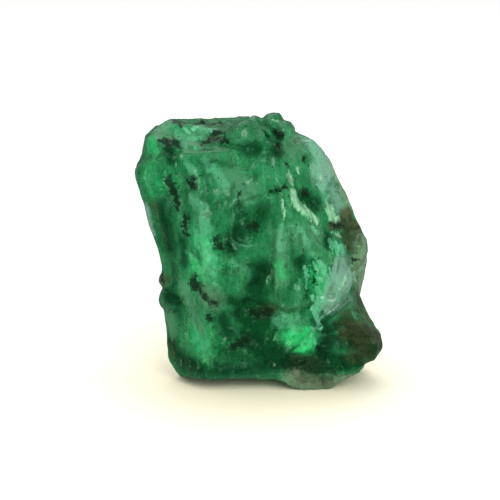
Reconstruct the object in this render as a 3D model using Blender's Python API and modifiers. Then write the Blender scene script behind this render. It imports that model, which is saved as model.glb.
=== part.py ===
"""Raw emerald crystal: one rough, broken piece of beryl, standing on its flat foot.

Run with: blender --background --python part.py

The stone is worked the way it came about. Flat growth and cleavage faces bound the blocks that grew
together, and knobs and ribs sit on them. Ledges, flakes and shell-shaped scoops are then broken out,
the whole is fused into one skin, worn and wrinkled, and cut flat where it stands. All of this is one
stack of modifiers on the first block, so any block, knob or cutter can still be moved.
+Z is up, the best face looks along -Y, and the origin is under the middle of the stone on the surface.
"""

import math
import random

import bmesh
import bpy
from mathutils import Matrix, Vector, noise

MM = 0.001
NODE = "emerald_crystal"

# How finely the fused skin is meshed, how far it is worn, and the share of its triangles that is kept
SKIN_GRAIN = 0.11 * MM
SKIN_WEAR, SKIN_WEAR_PASSES = 0.5, 1
SKIN_KEPT = 0.056

# Relief of the whole skin, from trough to crest: wide swells, and the smaller unevenness on them
SWELL_SIZE, SWELL_HEIGHT = 2.6 * MM, 0.22 * MM
UNEVEN_SIZE, UNEVEN_HEIGHT = 0.9 * MM, 0.10 * MM

# What comes over the origin, in the millimetres that all points below are given in: the middle of the
# finished stone across and deep, and the height of the surface it stands on
MIDDLE = (0.04, 0.455, -0.27)

# The blocks that grew together. Each has a heart point in millimetres, and the flat faces round it as
# (azimuth, rise, distance from the heart in millimetres)
BLOCKS = {
    "main block": {
        "heart": (0.0, 0.4, 8.0),
        "faces": {
            "front_low": (3, -8, 4.15),
            "front_high": (-3, 8, 4.62),
            "front_brow": (-5, 28, 6.0),
            "left_front": (-50, -3, 5.3),
            "left_back": (-115, -3, 5.1),
            "left_top_front": (-62, 24, 8.4),
            "top_left": (-88, 57, 9.5),
            "top_left_back": (-140, 46, 7.6),
            "top": (60, 81, 7.0),
            "top_front": (-8, 50, 7.17),
            "top_right": (88, 59, 7.25),
            "right_top_front": (52, 38, 6.0),
            "right_top_back": (118, 38, 6.3),
            "right_front_high": (48, 15.5, 4.6),
            "right_front_low": (22, -3, 4.5),
            "right_glassy": (62, -13.5, 5.96),
            "right_back_high": (122, 24, 5.3),
            "right_back_low": (128, 0, 5.1),
            "back_low": (178, -4, 4.35),
            "back_high": (-164, 20, 5.1),
            "top_back": (170, 55, 7.7),
            "under_front": (0, -77, 8.09),
            "under_left": (-80, -32, 8.53),
            "under_back": (178, -48, 7.9),
        },
    },
    "left shoulder": {
        "heart": (-4.0, 0.0, 12.0),
        "faces": {
            "left": (-90, -15, 3.12),
            "left_front": (-48, -15.5, 3.42),
            "left_back": (-130, -9, 3.05),
            "front": (-8, -6, 3.0),
            "back": (172, -1, 3.2),
            "top": (-30, 78, 2.7),
            "left_top": (-88, 36, 3.3),
            "left_top_front": (-40, 36, 3.8),
            "left_edge": (-44, 10, 3.7),
            "right": (90, -3, 3.2),
            "under": (0, -90, 7.0),
        },
    },
    "horn": {
        "heart": (5.0, -1.0, 2.8),
        "faces": {
            "front": (-6, -4, 2.45),
            "right_top": (80, 33, 1.87),
            "right": (75, -9.5, 2.48),
            "right_under": (70, -54.5, 2.2),
            "right_back": (120, 13, 2.15),
            "top": (-90, 52, 1.73),
            "back": (180, 0, 3.5),
            "left": (-90, -1.5, 3.4),
            "under": (0, -90, 3.5),
            "under_front": (10, -75, 2.51),
        },
    },
    "foot": {
        "heart": (3.5, -2.6, 0.64),
        "faces": {
            "front_low": (4, -6, 0.22),
            "left": (-62, 18, 2.25),
            "right": (66, 19, 2.1),
            "top": (0, 80, 0.9),
            "back": (180, 0, 3.0),
            "under": (0, -90, 2.0),
            "under_left": (-75, -62, 1.35),
            "under_right": (75, -56, 1.15),
        },
    },
}

# Lumps that stand on the blocks, in millimetres: where, and their radii across, deep and high
KNOBS = {
    "top left lobe": ((-5.55, -0.5, 14.0), (1.65, 2.1, 1.6)),
    "shoulder lobe": ((-6.35, -0.1, 12.6), (1.15, 1.8, 1.6)),
    "brow lobe": ((-0.95, -2.3, 14.55), (1.4, 1.6, 1.45)),
    "crest knob": ((0.75, -0.3, 15.25), (0.8, 1.2, 1.05)),
    "crest knob right": ((1.4, -0.8, 14.95), (0.75, 1.1, 0.9)),
    "crest bead": ((-0.35, -0.4, 15.35), (0.6, 0.9, 0.72)),
    "left bead": ((-5.35, -0.4, 6.0), (0.85, 1.2, 0.6)),
    "left knob": ((-5.2, -0.3, 4.8), (1.0, 1.6, 0.95)),
    "right knob": ((5.75, 0.1, 7.8), (0.85, 1.9, 1.3)),
    "smooth column": ((1.3, -3.5, 7.6), (0.6, 0.5, 2.6)),
    "pale rib": ((1.15, -3.75, 10.6), (0.22, 0.3, 2.2)),
    "column flow": ((1.9, -3.2, 5.7), (1.5, 0.5, 1.0)),
    "back lump": ((2.6, 3.3, 4.4), (2.0, 1.2, 1.7)),
    "left belly": ((-4.7, 1.2, 9.0), (1.0, 1.7, 3.0)),
}
KNOB_FLATS = 9
KNOB_FLAT_REACH = (0.78, 0.95)

# Long steps broken out with a flat floor. Each sits on a block's face, at millimetres across and up the
# face from its middle, with a width and height, the depth of its deep edge, the degrees its ledge is
# rolled on the face, and the degrees its floor tips so that it runs out
LEDGES = {
    "beside the rib": ("main block", "right_front_low", (0.15, 1.3), (1.6, 6.2), 0.30, 182, 9),
    "long diagonal": ("main block", "right_front_high", (-0.6, 2.3), (1.0, 3.4), 0.30, 218, 14),
    "glassy facet edge": ("main block", "right_front_low", (2.55, -0.7), (1.1, 3.6), 0.36, 12, 14),
    "horn shelf": ("horn", "front", (0.6, 1.65), (1.5, 4.4), 0.26, 268, 10),
    "horn lower shelf": ("horn", "front", (0.4, 0.3), (1.2, 4.2), 0.2, 265, 9),
    "horn end": ("horn", "right", (0.4, 0.6), (2.0, 2.4), 0.24, 80, 9),
    "crest step": ("main block", "top_front", (-3.6, 2.2), (1.2, 2.6), 0.28, 80, 12),
    "top shelf": ("main block", "top", (0.9, 0.4), (3.0, 9.0), 0.34, 25, 6),
    "top shelf behind": ("main block", "top_back", (-1.6, 1.4), (2.2, 5.0), 0.34, 262, 8),
    "back step left": ("main block", "back_low", (-2.9, -2.0), (3.6, 12.0), 0.42, 183, 5),
    "back step middle": ("main block", "back_low", (2.4, 1.6), (3.0, 14.0), 0.3, 5, 5),
    "back step low": ("main block", "back_low", (0.4, -5.0), (2.6, 12.0), 0.46, 277, 6),
    "back step high": ("main block", "back_high", (-0.8, 2.8), (2.8, 6.0), 0.4, 98, 7),
    "right back step": ("main block", "right_back_low", (1.2, 0.4), (2.6, 14.0), 0.38, 2, 6),
    "right back step high": ("main block", "right_back_high", (-0.8, 2.4), (2.4, 9.0), 0.32, 176, 6),
    "left back step": ("main block", "left_back", (1.0, -4.6), (2.6, 7.0), 0.32, 188, 5),
    "shoulder ledge": ("left shoulder", "left_front", (-0.3, -1.6), (1.4, 5.0), 0.12, 188, 8),
    "shoulder back ledge": ("left shoulder", "left_back", (0.6, 0.2), (1.6, 7.0), 0.26, 6, 7),
}

# Shell-shaped breaks: face, where on it, radii across and up in millimetres, depth, and the degrees the
# shell is rolled on the face and tipped, which makes one side of it a steep ledge
SCOOPS = {
    "left face hollow": ("main block", "left_front", (0.1, 0.6), (1.2, 4.2), 0.12, 0, 0),
    "left notch": ("main block", "left_back", (-1.7, -1.9), (0.6, 0.5), 0.35, 0, 0),
    "under the proud plate": ("main block", "front_high", (-0.1, 1.9), (2.1, 1.5), 0.26, 62, 6),
    "left of the middle": ("main block", "front_low", (-2.2, -0.6), (1.2, 2.0), 0.18, 10, 4),
    "dark hollow": ("main block", "front_low", (-0.5, -3.3), (1.7, 1.5), 0.22, 20, 3),
    "low front": ("main block", "front_low", (-2.2, -5.0), (1.8, 1.0), 0.20, 80, 5),
    "smooth hollow": ("main block", "front_high", (-2.1, 3.8), (1.4, 1.7), 0.22, 0, 2),
    "low left shell": ("main block", "left_front", (0.5, -4.6), (1.0, 1.6), 0.2, 30, 5),
    "below the diagonal": ("main block", "right_front_high", (0.9, 0.3), (1.1, 1.3), 0.34, 150, 8),
    "wedge patch": ("main block", "right_front_high", (1.9, 1.7), (0.5, 1.0), 0.28, 20, 8),
    "sheen edge": ("main block", "right_front_high", (2.5, 0.3), (0.8, 1.5), 0.28, 20, 8),
    "glow patch": ("main block", "front_low", (1.5, -4.2), (1.3, 1.15), 0.3, 84, 3),
    "right notch": ("main block", "right_glassy", (2.6, 1.5), (0.6, 0.35), 0.3, 0, 0),
    "horn hollow": ("horn", "front", (0.9, -0.6), (1.6, 0.8), 0.2, 100, 6),
    "crest pit": ("main block", "top_front", (-2.3, 2.6), (0.6, 0.45), 0.32, 0, 10),
    "crest pit left": ("main block", "top_front", (-4.5, 1.7), (0.6, 0.4), 0.3, 40, 10),
    "top hollow": ("main block", "top", (-1.2, 1.0), (1.8, 1.4), 0.36, 40, 5),
    "top hollow behind": ("main block", "top_back", (-1.8, 0.3), (1.6, 1.2), 0.34, 200, 6),
    "back shell": ("main block", "back_low", (1.9, 2.0), (2.4, 3.0), 0.55, 60, 5),
    "back shell high": ("main block", "back_high", (-1.9, 3.2), (2.2, 1.8), 0.46, 130, 6),
    "back shell low": ("main block", "back_low", (-1.2, -2.2), (1.9, 2.2), 0.46, 250, 5),
    "right back shell": ("main block", "right_back_low", (-1.0, -3.2), (1.9, 2.2), 0.44, 70, 6),
    "right back shell high": ("main block", "right_back_high", (0.8, 3.6), (1.6, 2.0), 0.38, 220, 6),
    "left back shell": ("left shoulder", "left_back", (0.6, -1.6), (1.5, 2.0), 0.34, 110, 6),
    "left back shell low": ("main block", "left_back", (0.6, -4.4), (1.5, 1.8), 0.34, 20, 7),
    "horn back shell": ("horn", "right_back", (0.6, 0.2), (1.4, 1.5), 0.36, 60, 6),
}

# Small flakes scattered over a patch of a face: face, middle of the patch, its half width and height,
# how many, their smallest and largest radius, their smallest and largest depth in millimetres, and a seed
FLAKES = {
    "glints": ("main block", "right_front_low", (1.5, -0.6), (1.3, 1.7), 15, (0.3, 0.8), (0.14, 0.3), 5),
    "rib flakes": ("main block", "right_front_low", (0.8, 2.6), (0.9, 1.6), 7, (0.3, 0.7), (0.1, 0.2), 2),
    "sheen": ("main block", "right_front_high", (0.8, 1.6), (1.7, 2.0), 7, (0.4, 1.0), (0.06, 0.12), 107),
    "crest flakes": ("main block", "top_front", (-2.0, 1.9), (3.2, 1.2), 11, (0.3, 0.7), (0.14, 0.28), 23),
    "plate flakes": ("main block", "front_high", (-1.1, 3.6), (2.3, 1.7), 9, (0.5, 1.1), (0.1, 0.18), 101),
    "front flakes": ("main block", "front_low", (-0.9, -1.2), (2.2, 3.2), 14, (0.5, 1.2), (0.1, 0.18), 97),
    "low flakes": ("main block", "front_low", (-1.6, -5.2), (1.7, 0.9), 6, (0.3, 0.7), (0.1, 0.22), 41),
    "left face": ("main block", "left_front", (0.0, -2.0), (1.0, 4.5), 8, (0.4, 1.0), (0.08, 0.16), 103),
    "left edge": ("main block", "left_back", (-1.6, -3.6), (0.7, 2.8), 6, (0.3, 0.7), (0.12, 0.25), 31),
    "right edge": ("main block", "right_back_high", (-1.8, 0.0), (0.8, 3.5), 8, (0.3, 0.8), (0.12, 0.28), 53),
    "back flakes": ("main block", "back_low", (-0.4, -0.6), (2.8, 4.4), 15, (0.5, 1.4), (0.14, 0.32), 67),
    "top flakes": ("main block", "top", (0.6, 0.0), (2.6, 2.2), 10, (0.4, 1.0), (0.14, 0.3), 71),
    "horn flakes": ("horn", "front", (-0.2, 0.3), (2.2, 1.4), 9, (0.3, 0.8), (0.1, 0.2), 83),
    "foot flakes": ("foot", "front_low", (0.0, 0.2), (1.6, 0.6), 4, (0.3, 0.6), (0.08, 0.16), 109),
}
FLAKE_TIP = (4, 16)

# How far a ledge's edge wanders as a share of its width, how long its jags are, how tall the cutters
# stand, and how far a scoop's outline wanders
JAG_REACH, JAG_SPACING = 0.25, 1.1
LEDGE_CUT_HEIGHT = 4 * MM
SCOOP_WANDER = 0.45

# Stone seen from outside
GREEN = (0.012, 0.16, 0.072, 1.0)


def mm(x, y, z):
    """A point or size given in millimetres, as a vector in metres."""
    return Vector((x, y, z)) * MM


def place(x, y, z):
    """A point given in millimetres, moved so that the middle of the stone comes over the origin."""
    return mm(x - MIDDLE[0], y - MIDDLE[1], z - MIDDLE[2])


def facing(azimuth, rise):
    """The unit vector that looks azimuth degrees right of the front and rise degrees above the horizon."""
    a, r = math.radians(azimuth), math.radians(rise)
    return Vector((math.sin(a) * math.cos(r), -math.cos(a) * math.cos(r), math.sin(r)))


def seat(block, face, spot):
    """The place on a block's face where a cutter stands: X runs across, Y up and Z out of the stone."""
    azimuth, rise, distance = BLOCKS[block]["faces"][face]
    out = facing(azimuth, rise)
    across = facing(azimuth + 90, 0)
    up = out.cross(across)
    corner = place(*BLOCKS[block]["heart"]) + out * distance * MM + across * spot[0] * MM + up * spot[1] * MM
    turned = Matrix((across, up, out)).transposed().to_4x4()
    return Matrix.Translation(corner) @ turned


def object_from(shape, name, collection):
    """Turns a bmesh into a new object in a collection."""
    mesh = bpy.data.meshes.new(name)
    shape.to_mesh(mesh)
    shape.free()
    made = bpy.data.objects.new(name, mesh)
    collection.objects.link(made)
    return made


def slice_off(shape, point, normal):
    """Cuts away what lies beyond a plane and closes the cut with one flat face."""
    cut = bmesh.ops.bisect_plane(
        shape,
        geom=shape.verts[:] + shape.edges[:] + shape.faces[:],
        plane_co=point,
        plane_no=normal,
        clear_outer=True,
    )
    rim = [part for part in cut["geom_cut"] if isinstance(part, bmesh.types.BMEdge)]
    bmesh.ops.contextual_create(shape, geom=rim)


def faceted_block(heart, faces, size=40 * MM):
    """A cube cut down by flat faces, each facing its own way at its own distance from the heart."""
    shape = bmesh.new()
    heart = place(*heart)
    bmesh.ops.create_cube(shape, size=size, matrix=Matrix.Translation(heart))
    for azimuth, rise, distance in faces.values():
        normal = facing(azimuth, rise)
        slice_off(shape, heart + normal * distance * MM, normal)
    bmesh.ops.recalc_face_normals(shape, faces=shape.faces[:])
    return shape


def worn_knob(centre, radii, seed):
    """A lump of the given radii: a ball with a few flats worn on it, then stretched."""
    shape = bmesh.new()
    bmesh.ops.create_icosphere(shape, subdivisions=2, radius=1.0)
    rng = random.Random(seed)
    for _ in range(KNOB_FLATS):
        normal = facing(rng.uniform(-180, 180), rng.uniform(-60, 80))
        reach = rng.uniform(*KNOB_FLAT_REACH)
        for vert in shape.verts:
            beyond = vert.co.dot(normal) - reach
            if beyond > 0:
                vert.co -= normal * beyond
    bmesh.ops.transform(
        shape,
        matrix=Matrix.Translation(place(*centre)) @ Matrix.Diagonal(mm(*radii)).to_4x4(),
        verts=shape.verts[:],
    )
    bmesh.ops.recalc_face_normals(shape, faces=shape.faces[:])
    return shape


def add_ledge(shape, spot, size, depth, roll, tip, rng):
    """Adds a cutter with a flat, tipped floor. It is deepest along its own left edge, which is jagged."""
    width, height = size[0] * MM, size[1] * MM
    steps = max(3, round(size[1] / JAG_SPACING))
    outline = [(width, height / 2), (width, -height / 2)]
    for step in range(steps + 1):
        along = -height / 2 + height * step / steps
        outline.append((width * rng.uniform(0, JAG_REACH), along))
    floor = shape.faces.new([shape.verts.new((x, y, 0)) for x, y in reversed(outline)])
    raised = bmesh.ops.extrude_face_region(shape, geom=[floor])
    wall = [part for part in raised["geom"] if isinstance(part, bmesh.types.BMVert)]
    bmesh.ops.translate(shape, verts=wall, vec=(0, 0, LEDGE_CUT_HEIGHT))
    sunk = Matrix.Translation((-width / 2, 0, -depth * MM))
    turned = Matrix.Rotation(math.radians(roll), 4, "Z")
    tipped = Matrix.Rotation(-math.radians(tip), 4, "Y")
    bmesh.ops.transform(shape, matrix=spot @ turned @ sunk @ tipped, verts=shape.verts[:])
    bmesh.ops.recalc_face_normals(shape, faces=shape.faces[:])


def add_scoop(shape, spot, radii, depth, roll, tip, seed):
    """Adds an uneven, shell-shaped cutter: a squashed ball whose outline wanders."""
    bmesh.ops.create_icosphere(shape, subdivisions=2, radius=1.0)
    for vert in shape.verts:
        vert.co *= 1 + SCOOP_WANDER * noise.noise(vert.co * 1.7 + Vector((seed * 3.1, 0, 0)))
    stretch = Matrix.Diagonal(mm(radii[0], radii[1], depth)).to_4x4()
    turned = Matrix.Rotation(math.radians(roll), 4, "Z")
    tipped = Matrix.Rotation(-math.radians(tip), 4, "Y")
    bmesh.ops.transform(shape, matrix=spot @ turned @ tipped @ stretch, verts=shape.verts[:])


def cutter(name, shape, collection):
    """A cutter object, drawn as wire and left out of renders."""
    made = object_from(shape, name, collection)
    made.hide_render = True
    made.display_type = "WIRE"
    return made


def break_out(collection):
    """Makes every ledge, shell and flake as a cutter of its own."""
    for seed, (name, (block, face, spot, size, depth, roll, tip)) in enumerate(LEDGES.items()):
        shape = bmesh.new()
        add_ledge(shape, seat(block, face, spot), size, depth, roll, tip, random.Random(seed))
        cutter("ledge " + name, shape, collection)
    for seed, (name, (block, face, spot, radii, depth, roll, tip)) in enumerate(SCOOPS.items()):
        shape = bmesh.new()
        add_scoop(shape, seat(block, face, spot), radii, depth, roll, tip, seed)
        cutter("shell " + name, shape, collection)
    for name, (block, face, middle, half, count, sizes, depths, seed) in FLAKES.items():
        rng = random.Random(seed)
        for number in range(count):
            spot = (middle[0] + rng.uniform(-half[0], half[0]), middle[1] + rng.uniform(-half[1], half[1]))
            radii = (rng.uniform(*sizes), rng.uniform(*sizes))
            depth, roll, tip = rng.uniform(*depths), rng.uniform(0, 360), rng.uniform(*FLAKE_TIP)
            shape = bmesh.new()
            add_scoop(shape, seat(block, face, spot), radii, depth, roll, tip, seed + number)
            cutter("%s %d" % (name, number + 1), shape, collection)


def relief(name, size, basis):
    """A cloud pattern for a Displace modifier."""
    pattern = bpy.data.textures.new(name, "CLOUDS")
    pattern.noise_scale = size
    pattern.noise_depth = 1
    pattern.noise_basis = basis
    return pattern


def displace(stone, name, pattern, height):
    """Pushes the skin in and out by a pattern."""
    push = stone.modifiers.new(name, "DISPLACE")
    push.texture = pattern
    push.texture_coords = "LOCAL"
    push.direction = "NORMAL"
    push.mid_level = 0.5
    push.strength = height


def join_with(stone, name, operation, operand):
    """A Boolean modifier with an object or a whole collection as its operand."""
    step = stone.modifiers.new(name, "BOOLEAN")
    step.operation = operation
    step.solver = "EXACT"
    if isinstance(operand, bpy.types.Collection):
        step.operand_type = "COLLECTION"
        step.collection = operand
    else:
        step.object = operand


def fuse_skin(stone):
    """Meshes the broken block as one skin, wears its edges, wrinkles it and thins its triangles."""
    skin = stone.modifiers.new("one skin", "REMESH")
    skin.mode = "VOXEL"
    skin.voxel_size = SKIN_GRAIN
    skin.use_smooth_shade = True
    wear = stone.modifiers.new("worn edges", "SMOOTH")
    wear.factor = SKIN_WEAR
    wear.iterations = SKIN_WEAR_PASSES
    displace(stone, "swells", relief("swells", SWELL_SIZE, "IMPROVED_PERLIN"), SWELL_HEIGHT)
    displace(stone, "unevenness", relief("unevenness", UNEVEN_SIZE, "IMPROVED_PERLIN"), UNEVEN_HEIGHT)
    thinned = stone.modifiers.new("fewer triangles", "DECIMATE")
    thinned.ratio = SKIN_KEPT


def floor_cutter(collection):
    """What lies under the surface the stone stands on."""
    shape = bmesh.new()
    bmesh.ops.create_cube(shape, size=40 * MM, matrix=Matrix.Translation((0, 0, -20 * MM)))
    return cutter("below the surface", shape, collection)


def stone_material():
    """Green, glossy stone."""
    material = bpy.data.materials.new("emerald")
    material.use_nodes = True
    shader = material.node_tree.nodes["Principled BSDF"]
    shader.inputs["Base Color"].default_value = GREEN
    shader.inputs["Roughness"].default_value = 0.25
    shader.inputs["Metallic"].default_value = 0.0
    return material


def new_collection(name, parent):
    made = bpy.data.collections.new(name)
    parent.children.link(made)
    return made


def main():
    for old in list(bpy.data.objects):
        bpy.data.objects.remove(old)
    stone_parts = new_collection("raw emerald crystal", bpy.context.scene.collection)
    growths = new_collection("blocks grown with it", bpy.context.scene.collection)
    cutters = new_collection("broken out of it", bpy.context.scene.collection)
    lumps = new_collection("lumps standing on it", bpy.context.scene.collection)
    floors = new_collection("flat base", bpy.context.scene.collection)

    stone = None
    for name, block in BLOCKS.items():
        shape = faceted_block(block["heart"], block["faces"])
        if stone is None:
            stone = object_from(shape, NODE, stone_parts)
        else:
            cutter(name, shape, growths)
    for seed, (name, (centre, radii)) in enumerate(KNOBS.items()):
        cutter(name, worn_knob(centre, radii, seed), lumps)
    break_out(cutters)

    join_with(stone, "grown together", "UNION", growths)
    join_with(stone, "broken out", "DIFFERENCE", cutters)
    join_with(stone, "lumps", "UNION", lumps)
    fuse_skin(stone)
    join_with(stone, "flat base", "DIFFERENCE", floor_cutter(floors))
    stone.data.materials.append(stone_material())


main()
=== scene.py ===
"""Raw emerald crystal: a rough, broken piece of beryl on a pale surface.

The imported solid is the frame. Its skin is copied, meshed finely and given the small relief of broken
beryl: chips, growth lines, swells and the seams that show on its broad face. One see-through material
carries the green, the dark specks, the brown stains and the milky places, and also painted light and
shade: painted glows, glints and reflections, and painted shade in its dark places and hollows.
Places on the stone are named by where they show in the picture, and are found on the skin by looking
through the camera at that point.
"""

import math

import bmesh
import bpy
import numpy as np
from bpy.props import FloatProperty, FloatVectorProperty, PointerProperty
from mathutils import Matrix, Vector, noise
from mathutils.bvhtree import BVHTree


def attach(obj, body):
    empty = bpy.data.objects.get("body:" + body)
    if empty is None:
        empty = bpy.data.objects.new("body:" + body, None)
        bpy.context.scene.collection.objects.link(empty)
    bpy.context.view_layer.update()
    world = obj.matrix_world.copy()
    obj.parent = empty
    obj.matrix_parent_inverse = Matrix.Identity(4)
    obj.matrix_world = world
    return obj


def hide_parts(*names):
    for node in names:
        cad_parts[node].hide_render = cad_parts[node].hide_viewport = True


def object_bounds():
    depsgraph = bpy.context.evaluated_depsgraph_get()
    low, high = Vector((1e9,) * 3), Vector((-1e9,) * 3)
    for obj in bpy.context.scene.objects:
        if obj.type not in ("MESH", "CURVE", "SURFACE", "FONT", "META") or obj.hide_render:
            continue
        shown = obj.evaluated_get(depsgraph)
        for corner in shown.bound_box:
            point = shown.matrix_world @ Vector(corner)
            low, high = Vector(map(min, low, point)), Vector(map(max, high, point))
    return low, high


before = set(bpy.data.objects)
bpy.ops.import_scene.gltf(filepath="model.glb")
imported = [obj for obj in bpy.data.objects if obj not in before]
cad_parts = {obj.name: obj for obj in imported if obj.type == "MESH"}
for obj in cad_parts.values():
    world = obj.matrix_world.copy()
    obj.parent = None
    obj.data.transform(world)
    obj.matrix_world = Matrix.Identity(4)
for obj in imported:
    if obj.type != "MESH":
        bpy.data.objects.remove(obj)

bl_info = {
    "name": "Raw emerald crystal",
    "version": (1, 0, 0),
    "blender": (4, 5, 0),
    "location": "3D View > Sidebar > Emerald",
    "description": "Builds a rough emerald crystal and a pale studio round it",
    "category": "Add Mesh",
}

MM = 0.001

# How far round a point its bulge is measured, in passes over the skin, and the height that counts as full
BULGE_PASSES, BULGE_FULL = 12, 0.07 * MM

# Without a seed, the vector noise starts from the clock and each run would differ
NOISE_SEED = 7

NODE = "emerald_crystal"
CAD_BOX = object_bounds()

# Relief of the broken skin, in millimetres: the noise that bends the chips, how softly two chips or flecks
# meet, then the growth lines, across and along, upright on the body and level on the horn
BEND_SIZE, BEND_REACH = 1.1, 0.30
CHIP_BLEND, FLECK_BLEND = 0.25, 0.3
UPRIGHT_ACROSS, UPRIGHT_ALONG, UPRIGHT_SHARE = 0.28, 2.2, 0.7
LEVEL_ALONG, LEVEL_ACROSS, LEVEL_LEAN, LEVEL_SHARE = 2.4, 0.24, 0.12, 1.6

# The horn with its level lines lies right of and below these, each with its fade, in millimetres
HORN_FROM, HORN_FROM_FADE = 2.6, 1.5
HORN_TOP, HORN_TOP_FADE = 5.0, 1.2

# How broken the skin is, how much more so on the sides that face away from the camera, and its limits. A side
# counts as away by how its normal lies to the view: its start and its fade
BROKEN, BROKEN_AWAY, BROKEN_RANGE = 0.32, 0.4, (0.08, 1.6)
AWAY_START, AWAY_FADE = 0.15, 0.45

# Height over the flat base in which the relief fades in, in millimetres
FOOTING = 0.25

# Pushes that make the edges of the marks wander: size and reach in millimetres
WANDERS = ((0.5, 0.08), (0.16, 0.05))

# The camera stands in front of the broad face. One pixel of the 500 x 500 picture is this much stone
PICTURE = 500
PIXEL = 0.0607 * MM
LENS, SENSOR = 110.0, 36.0
CAMERA_RISE = math.radians(12)
CAMERA_DISTANCE = PICTURE * PIXEL / SENSOR * LENS
CAMERA_AIM = Vector((-0.647, -0.455, 8.02)) * MM

# Where the skin is more or less broken: (across, down) in the picture, the reach in millimetres, and how
# much it adds to the chips there
ROUGH_PLACES = {
    "flakes right of the rib": ((320, 280), 2.2, 0.9),
    "upper flakes": ((312, 212), 1.8, 0.4),
    "glow patch": ((293, 333), 1.5, 0.9),
    "crest": ((205, 132), 2.2, 0.6),
    "knobs": ((275, 122), 1.2, 0.6),
    "right edge": ((364, 240), 1.2, 0.8),
    "brow lobe": ((243, 130), 1.3, -0.8),
    "left face": ((160, 215), 2.4, -0.7),
    "left face low": ((176, 320), 2.4, -0.4),
    "sheen": ((328, 178), 1.9, -0.45),
    "smooth flow": ((288, 290), 1.3, -0.6),
    "glassy facet": ((345, 280), 1.2, -0.8),
    "plate": ((245, 175), 1.6, -0.3),
    "foot": ((315, 383), 1.6, -0.5),
}

# Seams and ridges on the broad face: their half width and how far they stand out in millimetres (or go
# in, where it is less than nothing), then the places they run through in the picture
SEAMS = {
    "pale rib": (0.10, 0.07, (282, 195), (283.5, 210), (283, 223), (280, 232), (279, 252), (280, 276)),
    "crack": (0.10, -0.12, (270, 193), (275, 191), (280, 190), (287, 185)),
    "crack branch": (0.12, -0.06, (270, 193), (255, 197), (240, 205)),
    "plate edge": (0.16, -0.06, (240, 205), (226, 214), (214, 228)),
    "bright band": (0.30, 0.05, (288, 173), (292, 186), (294, 199), (302, 208), (316, 220)),
    "band shadow": (0.14, -0.07, (286, 205), (297, 212), (311, 223)),
    "facet line": (0.08, 0.08, (351, 266), (345, 278), (340, 290), (332, 306)),
    "facet groove": (0.12, -0.08, (342, 256), (333, 284), (326, 306), (320, 318)),
    "column left": (0.14, -0.07, (276, 228), (273, 252), (270, 284), (264, 304)),
    "column right": (0.14, -0.07, (291, 232), (294, 258), (300, 280), (313, 288)),
    "ridge": (0.16, 0.05, (166, 175), (178, 205), (188, 235), (192, 272), (201, 332)),
    "horn brow": (0.12, -0.09, (319, 326), (334, 314), (352, 309), (367, 312)),
    "patch top": (0.12, -0.08, (274, 316), (290, 313), (308, 315), (314, 322)),
    "patch side": (0.12, -0.08, (313, 322), (314, 340), (311, 352)),
    "patch low": (0.12, -0.09, (274, 350), (292, 355), (311, 353)),
    "crest line": (0.10, -0.03, (163, 146), (180, 148), (200, 145), (226, 146)),
    "lobe valley": (0.13, -0.11, (223, 121), (224, 136), (230, 146), (246, 148), (258, 142)),
    "knob valley": (0.13, -0.11, (259, 121), (268, 128), (276, 140), (288, 131)),
    "bottom edge": (0.10, 0.05, (183, 374), (215, 378), (270, 375), (315, 372), (353, 370)),
}

# Small swells of the skin: (across, down) in the picture, then their reach and height in millimetres
SWELLS = {
    "brow lobe": ((243, 127), 1.5, 0.30),
    "top left lobe": ((160, 124), 1.2, 0.12),
    "left notch": ((148, 156), 0.5, -0.14),
    "right knob": ((285, 116), 0.6, 0.10),
}

# Marks that are only colour: their reach in picture pixels, how strong they are, then the places they run
# through in the picture. Specks, stains, haze and most veils are the stone's own colour; the glows, sheens,
# light through thin edges, bright bands and glints are painted light, and the dark shade marks are painted
# shade
SPECKS = {
    "crest left": (5, 1.0, (176, 121), (181, 123)),
    "crest far": (3.5, 1.0, (195, 124), (204, 122), (210, 125)),
    "crest near": (3.5, 1.0, (214, 124), (221, 122)),
    "crest upper": (4.5, 1.0, (213, 134), (220, 132)),
    "crest lower": (5, 1.0, (205, 142), (213, 138), (225, 141)),
    "lobe foot": (6, 1.0, (163, 142), (170, 143), (175, 141)),
    "lobe foot end": (3, 1.0, (177, 146), (179, 147)),
    "ridge upper": (4.5, 1.0, (168, 180), (171, 187), (175, 194)),
    "ridge upper tail": (3, 1.0, (176, 197), (178, 208)),
    "beside the ridge": (4.5, 1.0, (190, 183), (193, 179), (193, 187)),
    "ridge middle": (4.5, 1.0, (187, 217), (185, 223)),
    "ridge middle low": (3.5, 1.0, (186, 228), (187, 234)),
    "left of the middle": (5, 1.0, (215, 240), (220, 247)),
    "low ridge": (6, 1.0, (195, 277), (193, 284), (199, 286)),
    "low ridge tail": (4, 1.0, (200, 292), (207, 299), (216, 303)),
    "low ridge dot": (4, 1.0, (209, 316), (210, 318)),
    "low middle": (5, 1.0, (232, 345), (238, 343), (244, 340)),
    "low middle tail": (3, 1.0, (236, 348), (249, 339)),
    "middle": (5, 1.0, (250, 226), (256, 228)),
    "under the knobs": (5, 1.0, (276, 133), (281, 136)),
    "under the knobs low": (3.5, 1.0, (279, 144), (277, 147)),
    "sheen upper": (2.6, 1.0, (304, 157), (304, 161)),
    "sheen lower": (4, 1.0, (303, 191), (306, 193)),
    "sheen dot": (2.4, 1.0, (286, 164), (287, 165)),
    "crack": (2.2, 1.0, (270, 192), (275, 191), (281, 189), (287, 186)),
    "under the band": (3, 1.0, (331, 226), (342, 225)),
    "left bump": (4, 1.0, (161, 274), (162, 281)),
    "thin line": (2, 1.0, (238, 192), (238, 206)),
    "patch corner": (4, 1.0, (316, 348), (322, 348)),
    "by the flakes": (2.6, 1.0, (314, 270), (313, 282)),
    "right edge": (2.4, 1.0, (354, 260), (357, 260)),
    "dark left of the patch": (5, 1.0, (256, 314), (270, 313)),
    # Darker under the patch, where the painted shade also darkens it
    "under the patch": (6, 0.6, (296, 362), (310, 364)),
}
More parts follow.
